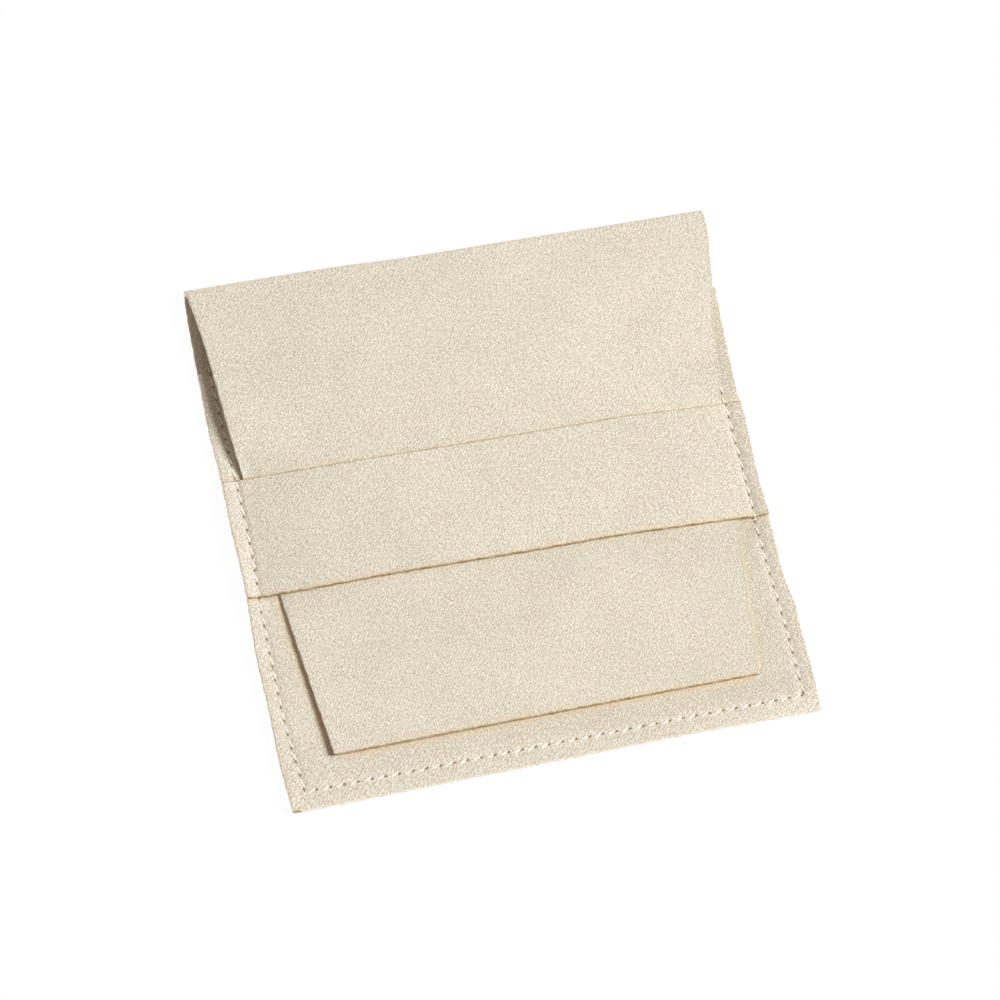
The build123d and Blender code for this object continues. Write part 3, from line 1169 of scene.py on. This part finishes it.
def nap_colour(tree, height, partings, patches, tinge):
    """Colour of the nap, with the painted light and shade in its tone, before any scorch is added."""
    tuft_colour = tinge.fade(*tinge_range).tint(tuft_rosy, tuft_olive)
    # The stored tone is painted light and shade.
    tone = height + (patches - 0.5) * patch_depth - stored(tree, "painted_shading")
    colour = tone.fade(0.0, 1.0).tint(tuft_dark, tuft_colour)
    return (partings * parting_strength).tint(colour, parting)


# %% [markdown]
# Heat from the cut colours the velvet twice: a wide tan halo with a very uneven border, and a narrow
# brown line right at the edge. Both follow the distance that the sheets keep, made ragged by the nap. The
# same halo and line also paint shade on the front and the flap, beside the flap's and the band's edges.

# %% Scorched velvet and painted shade beside edges
# Scorch colours, also used for the painted shade beside the flap's and the band's edges.
scorch_and_shade_brown = plain(160, 132, 90)
scorch_and_shade_tan = plain(226, 190, 144)
nap_raggedness = 0.1
patch_raggedness = 0.08
halo_raggedness = 1.4
halo_range = (1.3, 0.1)
halo_strength = 0.5
burn_range = (0.26, 0.06)
burn_strength = 0.85


def scorched_and_shaded(tree, colour, height, patches, tinge):
    """The colour with the tan halo and brown line that cutting with heat leaves, also used as painted shade.
    """
    distance = stored(tree, "from_scorch_and_shade")
    ragged = distance + (height - 0.5) * nap_raggedness + (patches - 0.5) * patch_raggedness
    halo = (ragged + (tinge - 0.5) * halo_raggedness).fade(*halo_range) * stored(tree, "halo")
    burn = ragged.fade(*burn_range) * stored(tree, "scorch_and_shade")
    colour = (halo * halo_strength).tint(colour, scorch_and_shade_tan)
    return (burn * burn_strength).tint(colour, scorch_and_shade_brown)


# %% [markdown]
# A needle hole is a small dark oval at the end where a stitch dives, drawn longer than the hole as a
# painted shadow of the stitch in its dip. The sheets already dip there, and the thread fills the hole,
# so nothing is cut: its darkness is drawn from the two coordinates along the seam.

# %% Needle holes and their painted shadow
# Colour of a needle hole with its painted shadow.
hole_shadow_dark = plain(132, 112, 80)
hole_length = 0.32
hole_width = 0.15
hole_range = (1.5, 0.3)
hole_strength = 0.9


def needle_hole_shade(tree):
    """How dark the needle holes and their painted shadow make the cloth, and 0 between them."""
    count = stored(tree, "stitch_count")
    going_up = count.math("GREATER_THAN", count, float(side_count + bottom_count))
    phase = count - (dash_phase + hole_lag) + going_up * (2 * hole_lag)
    along = phase.wrapped() * (pitch / hole_length)
    across = stored(tree, "outside_seam") * (1 / hole_width)
    return (along**2.0 + across**2.0).fade(*hole_range) * hole_strength


print(f"a needle hole is about {2 * hole_length:.1f} x {2 * hole_width:.1f} mm")

# %% Velvet material
patch_scale = 0.09
patch_roughness = 0.55
tinge_scale = 1.6
parted_roughness = 0.96
tuft_gloss = 0.1
nap_bump = 0.043 * mm
nap_bump_strength = 0.55


def velvet():
    """The cloth's face and back: nap, needle holes and scorch, with light and shade painted into all three.
    """
    material, tree, shader = new_material("velvet")
    place = tree.add("Attribute", {"attribute_name": "flat_place"}, output="Vector")
    height, partings = nap_of(tree, place)
    patching = {"Vector": place, "Scale": patch_scale, "Detail": 3.0, "Roughness": patch_roughness}
    patches = tree.add("TexNoise", sockets=patching)
    tinge = tree.add("TexNoise", sockets={"Vector": place, "Scale": tinge_scale, "Detail": 1.0})
    colour = nap_colour(tree, height, partings, patches, tinge)
    colour = scorched_and_shaded(tree, colour, height, patches, tinge)
    needle_hole_shade(tree).tint(colour, hole_shadow_dark).feed(shader, "Base Color")
    (parted_roughness - height * tuft_gloss).feed(shader, "Roughness")
    emboss(tree, shader, height, nap_bump, nap_bump_strength)
    shader.inputs["Specular IOR Level"].default_value = 0.2
    shader.inputs["Sheen Weight"].default_value = 0.12
    shader.inputs["Sheen Roughness"].default_value = 0.5
    return material


velvet_material = velvet()
print("the velvet has", len(velvet_material.node_tree.nodes), "nodes")

# %% [markdown]
# ## Cut edge
# The cut edge shows the cloth's core: fibres pressed together and no nap. Where the laser cut it, heat
# has turned it brown, and where a blade trimmed it, it stays pale. The same distance from the scorched
# cuts steers it as steers the halo beside it, so the two always meet. Its grain has no direction, so it
# reads Object coordinates, as the thread does, and these are in metres.

# %% Cut edge material
core_pale = (plain(234, 224, 204), plain(250, 242, 226))
core_burnt = (plain(154, 126, 84), plain(204, 176, 128))
grain_scale = 2600.0
grain_roughness = 0.6
grain_bump = 0.1 * mm
grain_bump_strength = 0.5
fine_range = (0.3, 0.7)
core_burn_range = (0.7, 0.1)


def cut_edge():
    """The rim of a sheet, brown where it was cut with heat."""
    material, tree, shader = new_material("cut_edge")
    place = tree.add("TexCoord", output="Object")
    graining = {"Vector": place, "Scale": grain_scale, "Detail": 2.0, "Roughness": grain_roughness}
    grain = tree.add("TexNoise", sockets=graining)
    pale = grain.fade(*fine_range).tint(*core_pale)
    burnt = grain.fade(*fine_range).tint(*core_burnt)
    burn = stored(tree, "from_scorch_and_shade").fade(*core_burn_range) * stored(tree, "scorch_and_shade")
    burn.tint(pale, burnt).feed(shader, "Base Color")
    emboss(tree, shader, grain, grain_bump, grain_bump_strength)
    shader.inputs["Roughness"].default_value = 0.95
    shader.inputs["Specular IOR Level"].default_value = 0.15
    return material


cut_edge_material = cut_edge()
print("the cut edge has", len(cut_edge_material.node_tree.nodes), "nodes")

# %% [markdown]
# ## Thread
# Spun polyester thread is off-white with a faint shine. The groove between its plies is real shape, so
# the material only adds the fine fibres.

# %% Thread material
thread_pale = (plain(238, 230, 214), plain(255, 252, 245))
spun_scale = 9000.0
spun_roughness = 0.5
spun_bump = 0.03 * mm
spun_bump_strength = 0.4


def thread():
    """Off-white sewing thread with fine fibres."""
    material, tree, shader = new_material("thread")
    place = tree.add("TexCoord", output="Object")
    spinning = {"Vector": place, "Scale": spun_scale, "Detail": 1.0, "Roughness": spun_roughness}
    fibres = tree.add("TexNoise", sockets=spinning)
    fibres.fade(*fine_range).tint(*thread_pale).feed(shader, "Base Color")
    emboss(tree, shader, fibres, spun_bump, spun_bump_strength)
    shader.inputs["Roughness"].default_value = 0.6
    shader.inputs["Sheen Weight"].default_value = 0.2
    return material


thread_material = thread()
print("the thread has", len(thread_material.node_tree.nodes), "nodes")

# %% Give the pieces their materials
sheets = (back, fold, flap, front, band)
for sheet in sheets:
    sheet.data.materials.append(velvet_material)
    sheet.data.materials.append(cut_edge_material)
for stitches in (upper_stitches, lower_stitches):
    stitches.data.materials.clear()
    stitches.data.materials.append(thread_material)
print("materials:", [material.name for material in bpy.data.materials])

# %% [markdown]
# ## Put the pieces in the pouch's frame
# Each piece stands for the solids that it covers and moves with their body, except the fold. The back
# stays and the flap turns. The fold between them crosses the joint, and here it is only fixed in place,
# attached to neither body.

# %% Bodies and sheets
sheet_width = 2 * half_width * mm
flap_cut = (sheet_length - fold_end) * mm
taper_share = 0.9
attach(back, "pouch")
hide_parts("back_panel")
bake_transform(fold)
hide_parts("crease_fold")
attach(flap, "flap")
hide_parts("flap_upper", "flap_tongue")
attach(front, "pouch")
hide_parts("front_panel")
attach(band, "pouch")
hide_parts("holding_band")
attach(upper_stitches, "pouch")
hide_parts("needle_thread")
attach(lower_stitches, "pouch")
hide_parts("bobbin_thread")
(fold_end - fold_start) * mm
sheet_width * flap_cut * taper_share

# %% [markdown]
# ## Camera
# The pouch lies flat and is seen from almost straight above, a little from the left and from beyond its
# bottom edge. A long lens far away keeps its sides nearly parallel. Its place is in millimetres, and the
# nearest and furthest distance that it sees in metres, as is all that follows.

# %% Camera
camera_place = (-85.16, -111.20, 458.50)
camera_turn = (15.351, -7.351, -12.394)
sensor_width = 36
focal_length = 115.2
nearest_seen = 0.01
furthest_seen = 10
camera_data = bpy.data.cameras.new("camera")
camera = bpy.data.objects.new("camera", camera_data)
bpy.context.collection.objects.link(camera)
camera.location = Vector(camera_place) * mm
camera.rotation_euler = [math.radians(degrees) for degrees in camera_turn]
camera_data.sensor_width = sensor_width
camera_data.lens = focal_length
camera_data.clip_start = nearest_seen
camera_data.clip_end = furthest_seen
bpy.context.scene.camera = camera
print(f"the camera is {Vector(camera_place).length:.0f} mm away, with a {focal_length} mm lens")

# %% [markdown]
# ## Light and floor
# One large soft lamp stands on the right, so the raised nap and the flap's edge throw short soft shadows
# to the left. The sky fills in the rest, and is warmer than the lamp, so the shadows are brown. To the
# camera the floor glows white and keeps only a trace of the shadow. To the pouch it glows too, as a
# brightly lit table does, and lights its rims from below.

# %% Key lamp
key_distance = 1.3
key_azimuth = math.radians(-12)
key_height = math.radians(51)
key_size = 0.6
key_energy = 20.2
key_colour = (0.905, 0.966, 1.0)
key_data = bpy.data.lights.new("key", "AREA")
key_data.shape = "DISK"
key_data.size = key_size
key_data.energy = key_energy
key_data.color = key_colour
key = bpy.data.objects.new("key", key_data)
bpy.context.collection.objects.link(key)
key_direction = Vector(
    (
        math.cos(key_height) * math.cos(key_azimuth),
        math.cos(key_height) * math.sin(key_azimuth),
        math.sin(key_height),
    )
)
key.location = key_direction * key_distance
key.rotation_euler = key_direction.to_track_quat("Z", "Y").to_euler()
print(f"the lamp is {key_distance} m away and {math.degrees(key_height):.0f} degrees above the table")


# %% Floor
def seen_directly(tree):
    """1 where the camera sees a surface, also in a gloss or through glass, and 0 where it only lights."""
    seen = tree.add("LightPath", output="Is Camera Ray")
    for ray in ("Is Glossy Ray", "Is Transmission Ray"):
        seen = seen.math("MAXIMUM", seen, tree.add("LightPath", output=ray))
    return seen


def glow_over(tree, lit, share, strength):
    """The lit floor with a share of white glow mixed in."""
    glow = tree.add("Emission", sockets={"Color": (1, 1, 1, 1), "Strength": strength})
    return tree.add("MixShader", sockets={0: share, 1: lit, 2: glow})


floor_size = 4
floor_z = -0.02 * mm
floor_grey = 0.8
white_share = 0.95
white_strength = 1.012
bounce_share = 0.85
bounce_strength = 1.7
deselect()
bpy.ops.mesh.primitive_plane_add(size=floor_size, location=(0, 0, floor_z))
floor = bpy.context.object
floor.name = "floor"
floor_material, floor_tree, floor_shader = new_material("floor")
floor_shader.inputs["Base Color"].default_value = (floor_grey, floor_grey, floor_grey, 1.0)
floor_shader.inputs["Roughness"].default_value = 1.0
floor_shader.inputs["Specular IOR Level"].default_value = 0.0
lit = Field(floor_tree.tree, floor_shader.outputs["BSDF"])
white = glow_over(floor_tree, lit, white_share, white_strength)
bounce = glow_over(floor_tree, lit, bounce_share, bounce_strength)
seen = floor_tree.add("MixShader", sockets={0: seen_directly(floor_tree), 1: bounce, 2: white})
seen.feed(floor_tree.tree.nodes["Material Output"], "Surface")
floor.data.materials.append(floor_material)
print("the floor is", floor_size, "m wide")

# %% Sky
world = bpy.data.worlds.new("sky")
world.use_nodes = True
bpy.context.scene.world = world
sky = Field(world.node_tree)
sky_strength = 0.3
sky_colour = (1.0, 0.87, 0.79, 1.0)
background = world.node_tree.nodes["Background"]
sky_seen = seen_directly(sky)
sky_seen.tint(sky_colour, (1.0, 1.0, 1.0, 1.0)).feed(background, "Color")
(sky_seen * (1 - sky_strength) + sky_strength).feed(background, "Strength")
print("the sky fills in with", sky_strength, "of full white")

# %% View settings
bpy.context.scene.view_settings.view_transform = "Standard"
